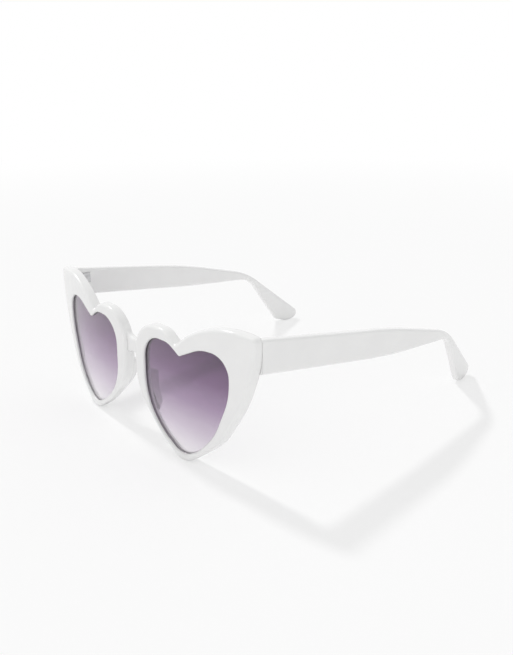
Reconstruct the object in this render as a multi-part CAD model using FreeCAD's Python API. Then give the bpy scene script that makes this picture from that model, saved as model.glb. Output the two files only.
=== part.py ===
import FreeCAD, Part
import math
import os
from FreeCAD import Vector

# Heart shaped sunglasses: a curved plastic front with two lenses and bonded nose pads, and two temples
# with an ear bend and a flared tip that fold on screwed metal hinges.
# Millimetres. +X is the wearer's left, -Y is where the wearer looks, +Z is up, and Z = 0 is the floor
# under the points of the hearts and the temple tips. Each piece is made for the left side and mirrored.

# Longer than any piece: the reach of the tools that cut right through
CUTTER = 300.0
# Least difference that tells one radius from another
HAIR = 1e-6

# Lenses
LENS_WIDTH = 46.1
LENS_HEIGHT = 44.4
LENS_GAP = 20.0
LENS_THICKNESS = 2.0
LENS_RECESS = 1.1
LENS_BITE = 0.7
LENS_BEVEL = 0.5
LENS_CLEARANCE = 0.05

# Front: how far the rim reaches past the lens opening on each side, and its curve and rounds
RIM_CHIN = 2.95
RIM_BROW = 9.65
RIM_LOBE = 4.4
RIM_NASAL = 6.3
RIM_TEMPORAL = 11.0
FRONT_THICKNESS = 4.7
FRONT_RADIUS = 226.0
FRONT_CENTRE = 11.0
FRONT_LEAN = 1.5
FACE_ROUND = 1.2
BACK_ROUND = 0.8
OPENING_BEVEL = 0.4
OPENING_BACK_BEVEL = 0.8
LOBE_SHARE = 0.965
POINT_SHARE = 0.465
NOTCH_ROUND = 1.2
LENS_NOTCH_ROUND = 0.1

# Bridge bar, below the top of the lens openings and set back between the rims, with a flare at each root
BRIDGE_DROP = 6.9
BRIDGE_HEIGHT = 5.9
BRIDGE_FLARE = 2.6
BRIDGE_ROOT = 1.6
BRIDGE_RECESS = 1.3
BRIDGE_THICKNESS = 2.8
BRIDGE_ROUND = 0.9

# Nose pads, below the bridge's top edge: a long foot on the back of the rim that narrows to a splayed edge
PAD_DROP = 11.2
PAD_LENGTH = 15.0
PAD_INSET = 1.0
PAD_FOOT = 2.8
PAD_EDGE = 1.8
PAD_DEPTH = 4.2
PAD_DEPTH_LOW = 2.3
PAD_SPLAY = 1.0
PAD_ROOT = 1.1
PAD_SHORTENING = 2.4
PAD_SHORTENING_LOW = 2.6
PAD_ROUND = 0.4

# Hinges: a leaf with two knuckles in the front, one with one knuckle in the temple, and a screw
KNUCKLE_RADIUS = 1.4
KNUCKLE_MIDDLE = 2.6
KNUCKLE_OUTER = 1.9
KNUCKLE_PLAY = 0.05
SCREW_RADIUS = 0.6
SCREW_PLAY = 0.05
SCREW_HEAD_RADIUS = 1.2
SCREW_HEAD = 0.7
SLOT_WIDTH = 0.35
SLOT_DEPTH = 0.3
HINGE_DROP = 7.2
HINGE_INSET = 2.7
HINGE_BEHIND = 1.7
LEAF_THICKNESS = 1.0
LEAF_HEIGHT = 7.8
LEAF_LENGTH = 4.2
TEMPLE_LEAF_HEIGHT = 4.8
TEMPLE_LEAF_LENGTH = 7.8
WEB_WIDTH = 2.0
LEAF_PLAY = 0.05
BUTT_TRIM = 1.4
BUTT_GAP = 0.1

# Temples: the arm, the run to the ear bend and the tip in side view, each from the end of the last, with the
# lengths that the turns take up on either side of a corner, then the bow in plan view
TEMPLE_STEP = 1.5
TEMPLE_HEIGHT = 12.8
TEMPLE_THICKNESS = 3.8
TIP_THICKNESS = 3.2
ARM_LENGTH = 66.0
ARM_DROP = 11.1
ARM_HEIGHT = 11.5
BEND_RUN = 42.0
BEND_DROP = 11.5
BEND_HEIGHT = 3.8
BEND_STAGGER = 1.5
TIP_RUN = 36.0
TIP_BACK_RISE = 2.6
TIP_FRONT_RISE = 1.9
TIP_WIDTH = 17.2
TIP_SOLE = 9.5
BOW = 3.4
BOW_LENGTH = 59.5
BEND_BOW = 1.7
TIP_TURN_IN = 9.5
ARM_BLEND = 12.5
BEND_TOP_BLEND = 8.0
BEND_LOW_BLEND = 6.0
TIP_BACK_BLEND = 5.8
TIP_FRONT_BLEND = 0.7
SOLE_BLEND = 2.8
BOW_BLEND = 18.0
TURN_BLEND = 12.0
TEMPLE_ROUND = 1.1

# Core wires: a flat wire inside each temple
CORE_HEIGHT = 1.8
CORE_THICKNESS = 1.2
CORE_START = 12.0
CORE_END = 9.0
CORE_BACK = 15.0
CORE_PLAY = 0.05

# Heart corners as (across, up, blend): place as shares of the box that they fill, and the share of the
# shorter side at the corner that its round takes up. They run from the notch, which has a round of its own,
# over the temporal lobe, down to the point and up the nasal side to the nasal lobe.
OPENING_CORNERS = [
    (0.475, 0.880, 0.0),
    (0.716, 1.000, 0.286),
    (1.000, 1.000, 0.620),
    (1.000, 0.654, 0.360),
    (0.850, 0.267, 0.498),
    (0.679, 0.082, 0.238),
    (0.488, -0.032, 0.521),
    (0.232, 0.112, 0.334),
    (0.000, 0.355, 0.638),
    (0.000, LOBE_SHARE, 0.638),
    (0.347, LOBE_SHARE, 0.447),
]
RIM_NOTCH = [
    (0.405, 0.906, 0.0),
]
RIM_TEMPORAL_CORNERS = [
    (0.650, 1.030, 0.802),
    (1.000, 0.988, 0.204),
    (1.000, 0.833, 0.414),
    (0.913, 0.518, 0.371),
    (0.749, 0.211, 0.268),
    (POINT_SHARE, -0.035, 0.403),
    (0.257, 0.116, 0.212),
]
RIM_NASAL_CORNERS = [
    (0.000, 0.434, 0.430),
    (0.000, 1.000, 0.680),
    (0.314, 1.000, 0.440),
]

# Worked out from the sizes above
rim_height = RIM_CHIN + LENS_HEIGHT + RIM_BROW
rim_left = LENS_GAP / 2 - RIM_NASAL
rim_right = LENS_GAP / 2 + LENS_WIDTH + RIM_TEMPORAL
lens_box = (LENS_GAP / 2, RIM_CHIN, LENS_WIDTH, LENS_HEIGHT)
rim_box = (rim_left, 0.0, rim_right - rim_left, rim_height)
lobe_height = RIM_CHIN + LOBE_SHARE * LENS_HEIGHT + RIM_LOBE
lobe_box = (rim_left, 0, rim_right - rim_left, lobe_height)
point_across = rim_left + POINT_SHARE * (rim_right - rim_left)
bridge_top = RIM_CHIN + LENS_HEIGHT - BRIDGE_DROP
pad_top = bridge_top - PAD_DROP
hinge_z = rim_height - HINGE_DROP
temple_top = rim_height - TEMPLE_STEP
arm_top = temple_top - ARM_DROP
bend_top = arm_top - BEND_DROP
bend_back = ARM_LENGTH + BEND_RUN
tip_back = bend_back + TIP_RUN
lean = math.tan(math.radians(FRONT_LEAN))
curve_y = math.sqrt(FRONT_RADIUS ** 2 - FRONT_CENTRE ** 2)


def sag(across):
    """How far the rim's curve falls back at a distance from the middle."""
    return curve_y - math.sqrt(FRONT_RADIUS ** 2 - (across - FRONT_CENTRE) ** 2)


butt_y = sag(rim_right) + FRONT_THICKNESS + hinge_z * lean - BUTT_TRIM
hinge_x = rim_right - TEMPLE_THICKNESS - HINGE_INSET
hinge_y = butt_y + HINGE_BEHIND
leaf_y = sag(hinge_x) + FRONT_THICKNESS + hinge_z * lean - LEAF_THICKNESS / 2
temple_y = butt_y + BUTT_GAP


def rounded(corners):
    """Closed wire through (point, blend) corners; a blend is the run that an arc takes up on each side."""
    points = [point for point, blend in corners]
    edges = []
    ends = []
    for index, (here, blend) in enumerate(corners):
        back = (points[index - 1] - here).normalize()
        ahead = (points[(index + 1) % len(points)] - here).normalize()
        start = here + back * blend
        end = here + ahead * blend
        ends.append((start, end))
        if blend:
            half = back.getAngle(ahead) / 2
            inward = (back + ahead).normalize()
            middle = here + inward * (blend / math.cos(half) - blend * math.tan(half))
            edges.append(Part.Arc(start, middle, end).toShape())
    for index, (start, end) in enumerate(ends):
        edges.append(Part.LineSegment(ends[index - 1][1], start).toShape())
    return Part.Wire(Part.__sortEdges__(edges))


def placed(corners, box):
    """Heart corners as (point, share) in the XZ plane."""
    left, bottom, width, height = box
    return [(Vector(left + across * width, 0, bottom + up * height), share) for across, up, share in corners]


def heart(corners, notch_round):
    """Heart outline through (point, share) corners, the notch first."""
    points = [point for point, share in corners]
    sides = [points[(index + 1) % len(points)] - here for index, here in enumerate(points)]
    blends = []
    for index, (point, share) in enumerate(corners):
        blends.append(share * min(sides[index - 1].Length, sides[index].Length))
    notch_turn = sides[-1].getAngle(sides[0])
    blends[0] = notch_round * math.tan(notch_turn / 2)
    return rounded(list(zip(points, blends)))


def opening_outline():
    """Edge of the opening, whose notch leaves the lens's own notch its round where the lens bites in."""
    return heart(placed(OPENING_CORNERS, lens_box), LENS_BITE + LENS_CLEARANCE + LENS_NOTCH_ROUND)


def rim_outline():
    """Outer edge of the rim."""
    corners = placed(RIM_NOTCH, lobe_box)
    corners += placed(RIM_TEMPORAL_CORNERS, rim_box)
    corners += placed(RIM_NASAL_CORNERS, lobe_box)
    return heart(corners, NOTCH_ROUND)


def through(wire):
    """Prism of an upright outline, from ahead of the front to behind it."""
    prism = Part.Face(wire).extrude(Vector(0, CUTTER, 0))
    prism.translate(Vector(0, -CUTTER / 2, 0))
    return prism


def block():
    """Large cube round the origin."""
    return Part.makeBox(CUTTER, CUTTER, CUTTER, Vector(-CUTTER / 2, -CUTTER / 2, -CUTTER / 2))


def curved_slab(front, back):
    """The space between two depths behind the front's curved face."""
    foot = Vector(FRONT_CENTRE, curve_y, -CUTTER / 2)
    outer = Part.makeCylinder(FRONT_RADIUS - front, CUTTER, foot)
    inner = Part.makeCylinder(FRONT_RADIUS - back, CUTTER, foot)
    return outer.cut(inner).common(block())


def curved_face(shape, depth):
    """The face that lies a depth behind the front's curve."""
    radius = FRONT_RADIUS - depth
    found = []
    for face in shape.Faces:
        if isinstance(face.Surface, Part.Cylinder) and abs(face.Surface.Radius - radius) < HAIR:
            found.append(face)
    return max(found, key=lambda face: face.Area)


def opening_edges(shape, depth):
    """Edges of the opening in the face that lies a depth behind the front's curve."""
    face = curved_face(shape, depth)
    openings = [wire for wire in face.Wires if not wire.isSame(face.OuterWire)]
    return openings[0].Edges


def lens(clearance=0.0):
    """Lens with its bevelled edge, or with a clearance the groove that it sits in."""
    outline = opening_outline().makeOffset2D(LENS_BITE + clearance)
    front = LENS_RECESS - clearance
    back = LENS_RECESS + LENS_THICKNESS + clearance
    blank = through(outline).common(curved_slab(front, back))
    edges = curved_face(blank, front).Edges + curved_face(blank, back).Edges
    return blank.makeChamfer(LENS_BEVEL, edges)


def rim():
    """One heart rim with rounded edges, its opening and the lens groove."""
    shape = through(rim_outline()).common(curved_slab(0, FRONT_THICKNESS))
    shape = shape.makeFillet(FACE_ROUND, curved_face(shape, 0).OuterWire.Edges)
    shape = shape.makeFillet(BACK_ROUND, curved_face(shape, FRONT_THICKNESS).OuterWire.Edges)
    shape = shape.cut(through(opening_outline()))
    shape = shape.makeChamfer(OPENING_BEVEL, opening_edges(shape, 0))
    shape = shape.makeChamfer(OPENING_BACK_BEVEL, opening_edges(shape, FRONT_THICKNESS))
    return shape.cut(lens(LENS_CLEARANCE))


def bridge():
    """Bar between the rims whose upper and lower edges flare into them."""
    reach = rim_left + BRIDGE_ROOT
    low = bridge_top - BRIDGE_HEIGHT
    upper = [Vector(x, BRIDGE_RECESS, z) for x, z in
             ((reach, bridge_top + BRIDGE_FLARE), (0, bridge_top), (-reach, bridge_top + BRIDGE_FLARE))]
    lower = [Vector(x, BRIDGE_RECESS, z) for x, z in
             ((-reach, low - BRIDGE_FLARE), (0, low), (reach, low - BRIDGE_FLARE))]
    outline = Part.Wire([
        Part.Arc(*upper).toShape(),
        Part.LineSegment(upper[2], lower[0]).toShape(),
        Part.Arc(*lower).toShape(),
        Part.LineSegment(lower[2], upper[0]).toShape(),
    ])
    bar = Part.Face(outline).extrude(Vector(0, BRIDGE_THICKNESS, 0))
    arcs = [edge for edge in bar.Edges if isinstance(edge.Curve, Part.Circle)]
    return bar.makeFillet(BRIDGE_ROUND, arcs)


def nasal_edge(height):
    """How far from the middle the rim's nasal edge stands at a height."""
    level = Part.LineSegment(Vector(0, 0, height), Vector(rim_right, 0, height)).toShape()
    return Part.Face(rim_outline()).common(level).BoundBox.XMin


def nasal_arc(top, bottom, top_depth, bottom_depth, across):
    """Arc that follows the rim's nasal edge at a distance across, on its back or a depth behind it."""
    middle = (top + bottom) / 2
    middle_depth = (top_depth + bottom_depth) / 2
    points = []
    for height, depth in ((top, top_depth), (middle, middle_depth), (bottom, bottom_depth)):
        points.append(Vector(nasal_edge(height) + across, FRONT_THICKNESS + depth, height))
    return Part.Wire(Part.Arc(*points).toShape())


def nose_pad():
    """Pad whose foot follows the nasal edge of the rim and whose edge splays away from the nose."""
    pad_bottom = pad_top - PAD_LENGTH
    across = PAD_INSET + PAD_FOOT / 2
    foot = nasal_arc(pad_top, pad_bottom, -PAD_ROOT, -PAD_ROOT, across)
    edge_top = pad_top - PAD_SHORTENING
    edge_bottom = pad_bottom + PAD_SHORTENING_LOW
    edge = nasal_arc(edge_top, edge_bottom, PAD_DEPTH, PAD_DEPTH_LOW, across + PAD_SPLAY)
    shape = Part.makeLoft([foot.makeOffset2D(PAD_FOOT / 2), edge.makeOffset2D(PAD_EDGE / 2)], True, True)
    end = max(shape.Faces, key=lambda face: face.CenterOfMass.y)
    shape = shape.makeFillet(PAD_ROUND, end.Edges)
    return shape.cut(curved_slab(0, FRONT_THICKNESS))


def leaned(shape):
    """Lean a piece of the front back about the heels of the hearts' points."""
    heel = sag(point_across) + FRONT_THICKNESS - BACK_ROUND
    return shape.copy().rotate(Vector(0, heel, 0), Vector(1, 0, 0), -FRONT_LEAN)


def mirrored(shape):
    return shape.mirror(Vector(0, 0, 0), Vector(1, 0, 0))


def knuckle(bottom, height):
    return Part.makeCylinder(KNUCKLE_RADIUS, height, Vector(hinge_x, hinge_y, bottom))


def screw_bore():
    return Part.makeCylinder(SCREW_RADIUS + SCREW_PLAY, CUTTER, Vector(hinge_x, hinge_y, 0))


def front_leaf_plate(play=0.0, opening=0.0):
    """Plate let into the back of the end piece, or with a play and an opening behind it its pocket."""
    return Part.makeBox(
        LEAF_LENGTH + 2 * play,
        LEAF_THICKNESS + play + opening,
        LEAF_HEIGHT + 2 * play,
        Vector(
            hinge_x - LEAF_LENGTH / 2 - play,
            leaf_y - LEAF_THICKNESS / 2 - play,
            hinge_z - LEAF_HEIGHT / 2 - play,
        ),
    )


def front_leaf():
    """Plate with the upper and the lower knuckle on webs."""
    shape = front_leaf_plate()
    gap = KNUCKLE_MIDDLE / 2 + KNUCKLE_PLAY
    for bottom in (hinge_z + gap, hinge_z - gap - KNUCKLE_OUTER):
        web = Part.makeBox(
            WEB_WIDTH,
            hinge_y - leaf_y,
            KNUCKLE_OUTER,
            Vector(hinge_x - WEB_WIDTH / 2, leaf_y, bottom),
        )
        shape = shape.fuse([web, knuckle(bottom, KNUCKLE_OUTER)])
    return shape.cut(screw_bore()).removeSplitter()


def temple_leaf_plate(play=0.0, opening=0.0):
    """Plate let into the temple's inner face, or with a play and an opening inside it its pocket."""
    return Part.makeBox(
        LEAF_THICKNESS + play + opening,
        TEMPLE_LEAF_LENGTH + 2 * play,
        TEMPLE_LEAF_HEIGHT + 2 * play,
        Vector(
            hinge_x + HINGE_INSET - opening,
            hinge_y - WEB_WIDTH / 2 - play,
            hinge_z - TEMPLE_LEAF_HEIGHT / 2 - play,
        ),
    )


def temple_leaf():
    """Plate with the middle knuckle on its web."""
    bottom = hinge_z - KNUCKLE_MIDDLE / 2
    web = Part.makeBox(
        HINGE_INSET + LEAF_THICKNESS / 2,
        WEB_WIDTH,
        KNUCKLE_MIDDLE,
        Vector(hinge_x, hinge_y - WEB_WIDTH / 2, bottom),
    )
    shape = temple_leaf_plate().fuse([web, knuckle(bottom, KNUCKLE_MIDDLE)])
    return shape.cut(screw_bore()).removeSplitter()


def hinge_screw():
    """Screw with a slotted head on the upper knuckle."""
    reach = KNUCKLE_MIDDLE / 2 + KNUCKLE_PLAY + KNUCKLE_OUTER
    top = hinge_z + reach
    shank = Part.makeCylinder(SCREW_RADIUS, 2 * reach, Vector(hinge_x, hinge_y, hinge_z - reach))
    head = Part.makeCylinder(SCREW_HEAD_RADIUS, SCREW_HEAD, Vector(hinge_x, hinge_y, top))
    slot_cut = Part.makeBox(
        2 * SCREW_HEAD_RADIUS,
        SLOT_WIDTH,
        SLOT_DEPTH,
        Vector(hinge_x - SCREW_HEAD_RADIUS, hinge_y - SLOT_WIDTH / 2, top + SCREW_HEAD - SLOT_DEPTH),
    )
    return shank.fuse(head).cut(slot_cut).removeSplitter()


def side_view(corners):
    """Prism along X of an outline given as (back, up, blend) corners, back from the butt."""
    wire = rounded([(Vector(0, temple_y + back, up), blend) for back, up, blend in corners])
    return Part.Face(wire).extrude(Vector(CUTTER, 0, 0))


def plan_view(corners):
    """Prism along Z of an outline given as (across, back, blend) corners."""
    low = -CUTTER / 2
    wire = rounded([(Vector(across, temple_y + back, low), blend) for across, back, blend in corners])
    return Part.Face(wire).extrude(Vector(0, 0, CUTTER))


def bow_line(inset, tip_inset):
    """Plan corners from the butt to past the tip, inset from the outer face."""
    butt = rim_right - inset
    return [
        (butt, 0.0, 0.0),
        (butt + BOW, BOW_LENGTH, BOW_BLEND),
        (butt + BEND_BOW, bend_back, TURN_BLEND),
        (rim_right + BEND_BOW - TIP_TURN_IN - tip_inset, tip_back + TIP_THICKNESS, 0.0),
    ]


def across_edge(edge):
    """True for the edges that only cross the temple's thickness."""
    box = edge.BoundBox
    return box.XLength > TIP_THICKNESS / 2 and max(box.YLength, box.ZLength) < TIP_THICKNESS


def sole_corner():
    """Height of the sole's corner, so that its round touches the floor."""
    rise_back = math.atan2(TIP_BACK_RISE, TIP_SOLE)
    rise_front = math.atan2(TIP_FRONT_RISE, TIP_WIDTH - TIP_SOLE)
    half = (rise_back + rise_front) / 2
    return -SOLE_BLEND / math.tan(half) * (1 / math.cos(half) - 1)


def temple_blank():
    """Side view crossed with the plan view, edges rounded."""
    side = side_view([
        (0, temple_top, 0),
        (ARM_LENGTH, arm_top, ARM_BLEND),
        (bend_back, bend_top, BEND_TOP_BLEND),
        (tip_back, TIP_BACK_RISE, TIP_BACK_BLEND),
        (tip_back - TIP_SOLE, sole_corner(), SOLE_BLEND),
        (tip_back - TIP_WIDTH, TIP_FRONT_RISE, TIP_FRONT_BLEND),
        (bend_back + BEND_STAGGER, bend_top - BEND_HEIGHT, BEND_LOW_BLEND),
        (ARM_LENGTH, arm_top - ARM_HEIGHT, ARM_BLEND),
        (0, temple_top - TEMPLE_HEIGHT, 0),
    ])
    outer = bow_line(0, 0)
    inner = bow_line(TEMPLE_THICKNESS, TIP_THICKNESS)
    shape = side.common(plan_view(outer + inner[::-1]))
    behind = temple_y + TEMPLE_ROUND
    edges = [edge for edge in shape.Edges if edge.BoundBox.YMax > behind and not across_edge(edge)]
    return shape.makeFillet(TEMPLE_ROUND, edges)


def band(line, half):
    """Corners round a strip of even width along a line of (along, up, blend) corners."""
    upper = []
    lower = []
    for index, (along, up, blend) in enumerate(line):
        before = line[max(index - 1, 0)]
        after = line[min(index + 1, len(line) - 1)]
        run = math.hypot(after[0] - before[0], after[1] - before[1])
        shift_along = -half * (after[1] - before[1]) / run
        shift_up = half * (after[0] - before[0]) / run
        upper.append((along + shift_along, up + shift_up, blend))
        lower.append((along - shift_along, up - shift_up, blend))
    return upper + lower[::-1]


def core_wire(play=0.0):
    """Flat wire along the middle of the temple, or with a play its channel."""
    arm_up = arm_top - ARM_HEIGHT / 2
    bend_up = bend_top - BEND_HEIGHT / 2
    butt_up = temple_top - TEMPLE_HEIGHT / 2
    line = [
        (CORE_START, butt_up + (arm_up - butt_up) * CORE_START / ARM_LENGTH, 0.0),
        (ARM_LENGTH, arm_up, ARM_BLEND),
        (bend_back + BEND_STAGGER / 2, bend_up, BEND_TOP_BLEND),
        (tip_back - CORE_BACK, CORE_END, 0.0),
    ]
    half = CORE_THICKNESS / 2 + play
    outer = bow_line(TEMPLE_THICKNESS / 2 - half, TIP_THICKNESS / 2 - half)
    inner = bow_line(TEMPLE_THICKNESS / 2 + half, TIP_THICKNESS / 2 + half)
    return side_view(band(line, CORE_HEIGHT / 2 + play)).common(plan_view(outer + inner[::-1]))


def temple():
    """Temple with the pocket for its hinge leaf and the channel for its core wire."""
    return temple_blank().cut([temple_leaf_plate(LEAF_PLAY, CUTTER), core_wire(CORE_PLAY)])


def frame_front():
    """Both rims and the bridge, leaned back, with flat butts and pockets for the hinge leaves."""
    left = rim()
    shape = leaned(left.fuse([mirrored(left), bridge()]))
    behind = block()
    behind.translate(Vector(0, butt_y + CUTTER / 2, 0))
    pocket = front_leaf_plate(LEAF_PLAY, CUTTER)
    return shape.cut([behind, pocket, mirrored(pocket)])


left_pieces = {
    "lens": leaned(lens()),
    "nose_pad": leaned(nose_pad()),
    "front_hinge_leaf": front_leaf(),
    "temple_hinge_leaf": temple_leaf(),
    "hinge_screw": hinge_screw(),
    "temple": temple(),
    "core_wire": core_wire(),
}
nodes = {"frame_front": frame_front()}
for name, shape in left_pieces.items():
    nodes[name + "_left"] = shape
    nodes[name + "_right"] = mirrored(shape)

# The origin is on the floor under the middle of the folded-out glasses
foremost = nodes["frame_front"].optimalBoundingBox().YMin
hindmost = nodes["temple_left"].optimalBoundingBox().YMax
to_origin = Vector(0, -(foremost + hindmost) / 2, 0)

os.makedirs("parts", exist_ok=True)
for name, shape in nodes.items():
    solid = shape.Solids[0]
    solid.translate(to_origin)
    solid.exportStep("parts/" + name + ".step")
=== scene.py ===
"""Heart shaped sunglasses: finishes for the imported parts, and a white table top to look at them on."""

import math

import bpy
from bpy.props import FloatProperty, FloatVectorProperty, PointerProperty
from mathutils import Matrix, Vector


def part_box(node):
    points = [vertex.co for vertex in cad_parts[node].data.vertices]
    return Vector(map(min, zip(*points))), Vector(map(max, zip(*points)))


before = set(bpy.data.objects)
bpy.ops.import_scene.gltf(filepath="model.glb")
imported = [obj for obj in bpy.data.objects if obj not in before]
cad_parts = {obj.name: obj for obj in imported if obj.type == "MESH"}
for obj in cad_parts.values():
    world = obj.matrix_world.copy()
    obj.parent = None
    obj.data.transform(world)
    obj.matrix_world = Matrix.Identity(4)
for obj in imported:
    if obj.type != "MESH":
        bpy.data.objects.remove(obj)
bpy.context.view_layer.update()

bl_info = {
    "name": "Heart Sunglasses",
    "version": (1, 0, 0),
    "blender": (4, 5, 0),
    "location": "View3D > Sidebar > Sunglasses",
    "description": "Finishes a pair of white heart sunglasses and sets them on a white table top",
    "category": "Object",
}

SIDES = ("left", "right")
LENS_LOW, LENS_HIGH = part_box("lens_left")
WHITE = (1.0, 1.0, 1.0)

# Size of the photograph in pixels, and width of the camera's film in millimetres
PHOTO_WIDTH = 513
PHOTO_HEIGHT = 655
FILM_WIDTH = 36.0

PLASTIC_IOR = 1.49
LENS_IOR = 1.55

# Range that the values of soft noise mostly fill
NOISE_LOW = 0.35
NOISE_HIGH = 0.65

# Shares of the lens's height at which its tints lie, from the chin to the brow
TINT_HEIGHTS = (0.0, 0.27, 0.5, 0.72, 1.0)

# How well the rounded normal matches the true one at the lens's edge and clear of it, which bounds the
# painted shade round the lens's edge
EDGE_MATCH = 0.94
CLEAR_MATCH = 0.995

# Length of a smear and of a brushed line, and width of a rubbed patch, in times their width
SMEAR_STRETCH = 2.5
LINE_STRETCH = 14.0
RUBBED_LINES = 12

# Grain of the table top in metres, and its roughness
TABLE_GRAIN = 0.002
TABLE_SMOOTH = 0.7
TABLE_ROUGH = 0.8


def colour(name, description, default):
    """A colour that a user may set."""
    return FloatVectorProperty(
        name=name, description=description, default=default, subtype="COLOR", size=3, min=0.0, max=1.0
    )


def length(name, description, default):
    """A length in metres that a user may set."""
    return FloatProperty(name=name, description=description, default=default, unit="LENGTH", precision=5)


def share(name, description, default):
    """A share from none to all that a user may set."""
    return FloatProperty(
        name=name, description=description, default=default, subtype="FACTOR", min=0.0, max=1.0
    )


def number(name, description, default):
    """A plain number that a user may set."""
    return FloatProperty(name=name, description=description, default=default)


def angle(name, description, degrees):
    """An angle that a user may set."""
    return FloatProperty(
        name=name, description=description, default=math.radians(degrees), subtype="ANGLE"
    )


def vector(name, description, default, subtype):
    """A direction or a place that a user may set."""
    return FloatVectorProperty(name=name, description=description, default=default, subtype=subtype)


class PlasticFinish(bpy.types.PropertyGroup):
    """Polished white plastic of the front, the pads and the temples."""

    body: colour("Body", "Colour of the plastic", (0.898, 0.898, 0.893))
    cloud: colour("Cloud", "Colour of the fainter clouds in the plastic", (0.876, 0.875, 0.872))
    cloud_size: length("Cloud Size", "Width of a cloud", 0.014)
    polish: share("Polish", "Roughness where the polish is best", 0.16)
    haze: share("Haze", "Roughness where the polish is worn", 0.27)
    haze_size: length("Haze Size", "Width of a hazy patch", 0.006)
    ripple_size: length("Ripple Size", "Width of a ripple left by tumbling", 0.0035)
    ripple_height: length("Ripple Height", "Height of a ripple left by tumbling", 0.000008)
    edge_round: length("Edge Round", "Radius of the polish over the moulded edges", 0.0006)


class LensFinish(bpy.types.PropertyGroup):
    """Tint that fades down the lenses, with painted shade round their edges."""

    brow: colour("Brow Tint", "Light let through at the brow", (0.062, 0.022, 0.072))
    upper: colour("Upper Tint", "Light let through above the middle", (0.174, 0.092, 0.196))
    middle: colour("Middle Tint", "Light let through at the middle", (0.356, 0.252, 0.39))
    lower: colour("Lower Tint", "Light let through below the middle", (0.625, 0.54, 0.65))
    chin: colour("Chin Tint", "Light let through at the point", (0.985, 0.96, 0.985))
    # The next two settings paint shade round the lens's edge, where the rim's groove shades it
    edge: length("Edge", "Width of the denser tint round the edge", 0.0014)
    edge_shade: colour(
        "Edge Tint", "Share of the tint's light let through at the edge", (0.12, 0.08, 0.13)
    )
    gloss: share("Gloss", "Roughness of the polished faces", 0.015)
    coat: share("Coat", "Weight of the hard clear coat", 0.75)
    smear: share("Smear", "Roughness of the faint smears", 0.05)
    smear_size: length("Smear Size", "Width of a smear", 0.012)


class SteelFinish(bpy.types.PropertyGroup):
    """Satin steel of the hinges and the core wires."""

    light: colour("Light", "Colour along the brushed lines", (0.66, 0.66, 0.67))
    dark: colour("Dark", "Colour between the brushed lines", (0.47, 0.47, 0.48))
    line_size: length("Line Size", "Width of a brushed line", 0.00025)
    satin: share("Satin", "Roughness along the lines", 0.32)
    worn: share("Worn", "Roughness where the satin is rubbed", 0.46)
    scratch_height: length("Scratch Height", "Depth of a brushed line", 0.00001)
    edge_round: length("Edge Round", "Radius of the rubbed edges", 0.0002)


class StageLook(bpy.types.PropertyGroup):
    """Table top, lights and camera."""

    table_half: length("Table Half", "Half the width of the table top", 4.0)
    table: colour("Table", "Colour of the table top", (0.985, 0.985, 0.985))
    glow_near: colour(
        "Glow Near", "White that the table shows round the sunglasses", (0.952, 0.952, 0.952)
    )
    glow_far: colour("Glow Far", "White that the table shows further off", WHITE)
    table_fade: length("Table Fade", "Distance over which the table turns white", 1.1)
    glow_seen: share("Glow Seen", "Share of the white where the table is seen near by", 0.56)
    glow_beyond: share(
        "Glow Beyond", "Share of the white in reflections and through the lenses", 0.05
    )
    sky_bright: number("Sky Bright", "Strength of the soft light on its bright side", 0.86)
    sky_dim: number("Sky Dim", "Strength of the soft light on its dim side", 0.49)
    sky_side: vector("Sky Side", "Where the soft light is bright", (0.3, -0.75, 0.4), "DIRECTION")
    key: number("Key", "Strength of the lamp that casts the shadow", 1.05)
    key_width: angle("Key Width", "Angle that the lamp fills", 5.5)
    key_run: vector("Key Run", "Way that the lamp's light runs", (0.85, -0.06, -1.0), "DIRECTION")
    key_place: vector("Key Place", "Where the lamp is shown", (-0.6, 0.0, 0.8), "TRANSLATION")
    eye: vector("Eye", "Place of the camera", (0.22825, -0.20975, 0.13658), "TRANSLATION")
    azimuth: angle("Azimuth", "Turn of the camera round the sunglasses", 48.5)
    elevation: angle("Elevation", "Slope of the camera's line of sight", 19.436)
    roll: angle("Roll", "Tilt of the camera about its line of sight", -0.602)
    focal: number("Focal Length", "Camera's focal length in pixels of the picture", 699.8)


class SunglassesLook(bpy.types.PropertyGroup):
    """All that a user may change."""

    plastic: PointerProperty(type=PlasticFinish)
    lens: PointerProperty(type=LensFinish)
    steel: PointerProperty(type=SteelFinish)
    stage: PointerProperty(type=StageLook)


def opaque(rgb):
    """A colour with full cover."""
    return (*rgb, 1.0)


def hold(node, **inputs):
    """Sets constants on a node's sockets, whose names have _ for a space here."""
    for socket, value in inputs.items():
        node.inputs[socket.replace("_", " ")].default_value = value


class Nodes:
    """A node tree, with short calls to add and join its nodes."""

    def __init__(self, tree):
        self.tree = tree

    def add(self, kind, operation=None, **inputs):
        """A new node with constants on its sockets."""
        node = self.tree.nodes.new(kind)
        if operation:
            node.operation = operation
        hold(node, **inputs)
        return node

    def join(self, source, target):
        self.tree.links.new(source, target)

    def combine(self, operation, *sources):
        """Outputs and numbers put together by a sum, a product or the like."""
        node = self.add("ShaderNodeMath", operation)
        for source, socket in zip(sources, node.inputs):
            if isinstance(source, float):
                socket.default_value = source
            else:
                self.join(source, socket)
        return node.outputs["Value"]

    def remap(self, source, low=0.0, high=1.0, to_low=0.0, to_high=1.0, interpolation="LINEAR"):
        """An output's range from low to high, spread over another range."""
        node = self.add(
            "ShaderNodeMapRange", From_Min=low, From_Max=high, To_Min=to_low, To_Max=to_high
        )
        node.interpolation_type = interpolation
        self.join(source, node.inputs["Value"])
        return node.outputs["Result"]

    def blend(self, factor, first, second):
        """Two shaders blended by a factor."""
        node = self.add("ShaderNodeMixShader")
        self.join(factor, node.inputs["Fac"])
        self.join(first, node.inputs[1])
        self.join(second, node.inputs[2])
        return node.outputs["Shader"]


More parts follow.
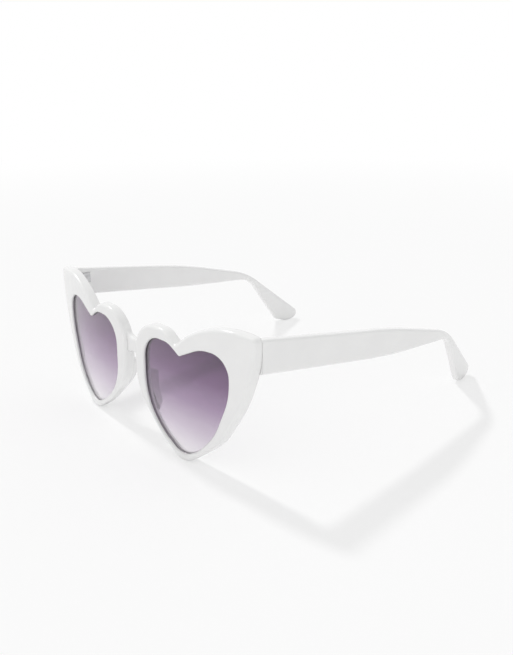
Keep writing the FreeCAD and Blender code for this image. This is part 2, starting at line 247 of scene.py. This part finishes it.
class Finish(Nodes):
    """A node material under a name, whose patterns are measured in metres."""

    def __init__(self, name):
        self.material = bpy.data.materials.new(name)
        self.material.use_nodes = True
        super().__init__(self.material.node_tree)
        self.surface = self.tree.nodes["Principled BSDF"]
        self.output = self.tree.nodes["Material Output"]
        self.place = self.add("ShaderNodeTexCoord").outputs["Object"]

    def feed(self, socket, source):
        """Joins an output to a socket of the surface."""
        self.join(source, self.surface.inputs[socket])

    def noise(self, size, detail=3.0, stretch=(1.0, 1.0, 1.0)):
        """Soft noise whose patches are a size wide, stretched along the axes."""
        mapping = self.add("ShaderNodeMapping", Scale=[1.0 / (size * axis) for axis in stretch])
        self.join(self.place, mapping.inputs["Vector"])
        noise = self.add("ShaderNodeTexNoise", Scale=1.0, Detail=detail, Roughness=0.55)
        self.join(mapping.outputs["Vector"], noise.inputs["Vector"])
        return noise.outputs["Fac"]

    def ramp(self, factor, stops):
        """Colour of a factor, blended between (place, colour) stops."""
        node = self.add("ShaderNodeValToRGB")
        elements = node.color_ramp.elements
        while len(elements) < len(stops):
            elements.new(0.5)
        for element, (place, rgb) in zip(elements, stops):
            element.position = place
            element.color = opaque(rgb)
        self.join(factor, node.inputs["Fac"])
        return node.outputs["Color"]

    def patches(self, noise, low, high):
        """Colour that goes from low to high over the patches of a noise."""
        return self.ramp(noise, [(NOISE_LOW, low), (NOISE_HIGH, high)])

    def spread(self, noise, low, high):
        """Value that goes from low to high over the patches of a noise."""
        return self.remap(noise, NOISE_LOW, NOISE_HIGH, low, high)

    def rounded(self, radius, samples):
        """Normal of the surface with its edges rounded off."""
        node = self.add("ShaderNodeBevel", Radius=radius)
        node.samples = samples
        return node.outputs["Normal"]

    def painted_edge_shade(self, tint, look):
        """A tint darkened round the edge of the piece by painted shade, where the rim's groove shades
        the lens.
        """
        match = self.add("ShaderNodeVectorMath", "DOT_PRODUCT")
        self.join(self.rounded(look.edge, 8), match.inputs[0])
        self.join(self.add("ShaderNodeNewGeometry").outputs["Normal"], match.inputs[1])
        clear = self.remap(match.outputs["Value"], EDGE_MATCH, CLEAR_MATCH)
        # Painted shade multiplied into the tint near the edge
        shaded = self.add("ShaderNodeMix")
        shaded.data_type = "RGBA"
        shaded.blend_type = "MULTIPLY"
        shaded.inputs["Factor"].default_value = 1.0
        self.join(tint, shaded.inputs["A"])
        self.join(self.ramp(clear, [(0.0, look.edge_shade), (1.0, WHITE)]), shaded.inputs["B"])
        return shaded.outputs["Result"]

    def bump(self, factor, height, edge_round):
        """Small relief on the surface, whose edges look rounded."""
        node = self.add("ShaderNodeBump", Strength=1.0, Distance=height)
        self.join(factor, node.inputs["Height"])
        self.join(self.rounded(edge_round, 6), node.inputs["Normal"])
        self.feed("Normal", node.outputs["Normal"])

    def mix_in(self, factor, shader):
        """Shows another shader in place of the surface by a factor."""
        mixed = self.blend(factor, self.surface.outputs["BSDF"], shader)
        self.join(mixed, self.output.inputs["Surface"])


def white_plastic(name, look):
    """Polished white plastic with faint clouds, hazy patches and tumbling ripples."""
    finish = Finish(name)
    clouds = finish.noise(look.cloud_size)
    finish.feed("Base Color", finish.patches(clouds, look.cloud, look.body))
    haze = finish.noise(look.haze_size, detail=5.0)
    finish.feed("Roughness", finish.spread(haze, look.polish, look.haze))
    hold(finish.surface, IOR=PLASTIC_IOR)
    ripples = finish.noise(look.ripple_size, detail=1.0)
    finish.bump(ripples, look.ripple_height, look.edge_round)
    return finish.material


def faded_tint(name, look):
    """Clear plastic whose tint fades down the lens, with painted shade round its edge, and lets the lamp
    through.
    """
    finish = Finish(name)
    split = finish.add("ShaderNodeSeparateXYZ")
    finish.join(finish.place, split.inputs["Vector"])
    height = finish.remap(split.outputs["Z"], LENS_LOW.z, LENS_HIGH.z)
    tints = (look.chin, look.lower, look.middle, look.upper, look.brow)
    # Painted shade darkens the tint round the lens's edge
    tint = finish.painted_edge_shade(finish.ramp(height, list(zip(TINT_HEIGHTS, tints))), look)
    finish.feed("Base Color", tint)
    smears = finish.noise(look.smear_size, detail=4.0, stretch=(1.0, 1.0, SMEAR_STRETCH))
    finish.feed("Roughness", finish.spread(smears, look.gloss, look.smear))
    hold(finish.surface, IOR=LENS_IOR, Transmission_Weight=1.0, Coat_Weight=look.coat)
    through = finish.add("ShaderNodeBsdfTransparent")
    finish.join(tint, through.inputs["Color"])
    rays = finish.add("ShaderNodeLightPath")
    finish.mix_in(rays.outputs["Is Shadow Ray"], through.outputs["BSDF"])
    return finish.material


def satin_steel(name, look):
    """Satin steel with brushed lines round the hinge."""
    finish = Finish(name)
    lines = finish.noise(look.line_size, detail=2.0, stretch=(LINE_STRETCH, LINE_STRETCH, 1.0))
    finish.feed("Base Color", finish.patches(lines, look.dark, look.light))
    rubbed = finish.noise(look.line_size * RUBBED_LINES)
    finish.feed("Roughness", finish.spread(rubbed, look.satin, look.worn))
    hold(finish.surface, Metallic=1.0)
    finish.bump(lines, look.scratch_height, look.edge_round)
    return finish.material


def give(node, material):
    """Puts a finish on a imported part."""
    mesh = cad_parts[node].data
    mesh.materials.clear()
    mesh.materials.append(material)


class SUNGLASSES_OT_front(bpy.types.Operator):
    """Finish the one piece front with its two heart rims"""

    bl_idname = "sunglasses.front"
    bl_label = "Front"

    def execute(self, context):
        give("frame_front", white_plastic("front_plastic", context.scene.sunglasses.plastic))
        return {"FINISHED"}


class SUNGLASSES_OT_lenses(bpy.types.Operator):
    """Tint the two heart lenses"""

    bl_idname = "sunglasses.lenses"
    bl_label = "Lenses"

    def execute(self, context):
        material = faded_tint("lens_tint", context.scene.sunglasses.lens)
        for side in SIDES:
            give("lens_" + side, material)
        return {"FINISHED"}


class SUNGLASSES_OT_pads(bpy.types.Operator):
    """Finish the two nose pads"""

    bl_idname = "sunglasses.pads"
    bl_label = "Nose Pads"

    def execute(self, context):
        material = white_plastic("pad_plastic", context.scene.sunglasses.plastic)
        for side in SIDES:
            give("nose_pad_" + side, material)
        return {"FINISHED"}


class SUNGLASSES_OT_temples(bpy.types.Operator):
    """Finish the two temples"""

    bl_idname = "sunglasses.temples"
    bl_label = "Temples"

    def execute(self, context):
        material = white_plastic("temple_plastic", context.scene.sunglasses.plastic)
        for side in SIDES:
            give("temple_" + side, material)
        return {"FINISHED"}


class SUNGLASSES_OT_hinges(bpy.types.Operator):
    """Finish the hinge leaves, the screws and the core wires"""

    bl_idname = "sunglasses.hinges"
    bl_label = "Hinges"

    def execute(self, context):
        material = satin_steel("hinge_steel", context.scene.sunglasses.steel)
        for side in SIDES:
            for piece in ("front_hinge_leaf_", "temple_hinge_leaf_", "hinge_screw_", "core_wire_"):
                give(piece + side, material)
        return {"FINISHED"}


def table_paint(look):
    """Pale table top that takes the shadows and shows white further off."""
    finish = Finish("table_paint")
    hold(finish.surface, Base_Color=opaque(look.table), Specular_IOR_Level=0.0)
    grain = finish.noise(TABLE_GRAIN, detail=2.0)
    finish.feed("Roughness", finish.spread(grain, TABLE_SMOOTH, TABLE_ROUGH))
    away = finish.add("ShaderNodeVectorMath", "LENGTH")
    finish.join(finish.place, away.inputs[0])
    fade = look.table_fade
    far = finish.remap(away.outputs["Value"], fade / 4, fade, interpolation="SMOOTHSTEP")
    glow = finish.add("ShaderNodeEmission")
    shades = [(0.0, look.glow_near), (1.0, look.glow_far)]
    finish.join(finish.ramp(far, shades), glow.inputs["Color"])
    rays = finish.add("ShaderNodeLightPath")
    beyond = finish.combine("ADD", rays.outputs["Is Glossy Ray"], rays.outputs["Is Transmission Ray"])
    part = finish.combine("MULTIPLY", beyond, look.glow_beyond)
    seen = finish.remap(far, to_low=look.glow_seen)
    whole = finish.combine("MULTIPLY_ADD", rays.outputs["Is Camera Ray"], seen, part)
    finish.mix_in(whole, glow.outputs["Emission"])
    return finish.material


def table_top(look):
    """The table top, centred under the sunglasses."""
    half = look.table_half
    mesh = bpy.data.meshes.new("table_top")
    corners = [(-half, -half, 0), (half, -half, 0), (half, half, 0), (-half, half, 0)]
    mesh.from_pydata(corners, [], [(0, 1, 2, 3)])
    mesh.materials.append(table_paint(look))
    table = bpy.data.objects.new("table_top", mesh)
    bpy.context.scene.collection.objects.link(table)


def soft_sky(look):
    """Soft light from all round, stronger on one side, that is seen as white."""
    world = bpy.data.worlds.new("soft_sky")
    world.use_nodes = True
    sky = Nodes(world.node_tree)
    fill = sky.tree.nodes["Background"]
    hold(fill, Color=opaque(WHITE))
    toward = sky.add("ShaderNodeVectorMath", "DOT_PRODUCT")
    toward.inputs[1].default_value = Vector(look.sky_side).normalized()
    sky.join(sky.add("ShaderNodeTexCoord").outputs["Generated"], toward.inputs[0])
    strength = sky.remap(toward.outputs["Value"], -1.0, 1.0, look.sky_dim, look.sky_bright)
    sky.join(strength, fill.inputs["Strength"])
    seen = sky.add("ShaderNodeBackground", Color=opaque(WHITE))
    rays = sky.add("ShaderNodeLightPath")
    either = rays.outputs["Is Camera Ray"]
    for kind in ("Is Glossy Ray", "Is Transmission Ray"):
        either = sky.combine("MAXIMUM", either, rays.outputs[kind])
    mixed = sky.blend(either, fill.outputs["Background"], seen.outputs["Background"])
    sky.join(mixed, sky.tree.nodes["World Output"].inputs["Surface"])
    bpy.context.scene.world = world


def key_lamp(look):
    """The lamp whose shadow runs along the front."""
    lamp = bpy.data.lights.new("key_lamp", "SUN")
    lamp.energy = look.key
    lamp.angle = look.key_width
    holder = bpy.data.objects.new("key_lamp", lamp)
    holder.rotation_mode = "QUATERNION"
    holder.rotation_quaternion = Vector(look.key_run).to_track_quat("-Z", "Y")
    holder.location = look.key_place
    bpy.context.scene.collection.objects.link(holder)


def photo_camera(look):
    """Camera at the photograph's place, looking the same way."""
    azimuth, elevation, roll = look.azimuth, look.elevation, look.roll
    outward = Vector((math.sin(azimuth), -math.cos(azimuth), 0.0))
    level = Vector((math.cos(azimuth), math.sin(azimuth), 0.0))
    back = outward * math.cos(elevation) + Vector((0.0, 0.0, math.sin(elevation)))
    rise = back.cross(level)
    right = level * math.cos(roll) + rise * math.sin(roll)
    up = rise * math.cos(roll) - level * math.sin(roll)
    camera = bpy.data.cameras.new("camera")
    camera.sensor_width = FILM_WIDTH
    camera.lens = FILM_WIDTH * look.focal / max(PHOTO_WIDTH, PHOTO_HEIGHT)
    camera.clip_start = 0.01
    camera.clip_end = 50.0
    holder = bpy.data.objects.new("camera", camera)
    turn = Matrix((right, up, back)).transposed().to_4x4()
    holder.matrix_world = Matrix.Translation(Vector(look.eye)) @ turn
    bpy.context.scene.collection.objects.link(holder)
    bpy.context.scene.camera = holder


class SUNGLASSES_OT_stage(bpy.types.Operator):
    """Set up the table top, the lights and the camera"""

    bl_idname = "sunglasses.stage"
    bl_label = "Stage"

    def execute(self, context):
        look = context.scene.sunglasses.stage
        table_top(look)
        soft_sky(look)
        key_lamp(look)
        photo_camera(look)
        context.scene.view_settings.view_transform = "Standard"
        return {"FINISHED"}


class SUNGLASSES_PT_panel(bpy.types.Panel):
    """Lists the pieces in the sidebar"""

    bl_idname = "SUNGLASSES_PT_panel"
    bl_label = "Heart Sunglasses"
    bl_space_type = "VIEW_3D"
    bl_region_type = "UI"
    bl_category = "Sunglasses"

    def draw(self, context):
        for step in STEPS:
            self.layout.operator(step.bl_idname)


STEPS = (
    SUNGLASSES_OT_front,
    SUNGLASSES_OT_lenses,
    SUNGLASSES_OT_pads,
    SUNGLASSES_OT_temples,
    SUNGLASSES_OT_hinges,
    SUNGLASSES_OT_stage,
)
GROUPS = (PlasticFinish, LensFinish, SteelFinish, StageLook, SunglassesLook)
CLASSES = GROUPS + STEPS + (SUNGLASSES_PT_panel,)


def register():
    for kind in CLASSES:
        bpy.utils.register_class(kind)
    bpy.types.Scene.sunglasses = PointerProperty(type=SunglassesLook)


def unregister():
    del bpy.types.Scene.sunglasses
    for kind in reversed(CLASSES):
        bpy.utils.unregister_class(kind)


def main():
    register()
    bpy.ops.sunglasses.front()
    bpy.ops.sunglasses.lenses()
    bpy.ops.sunglasses.pads()
    bpy.ops.sunglasses.temples()
    bpy.ops.sunglasses.hinges()
    bpy.ops.sunglasses.stage()


if __name__ == "__main__":
    main()
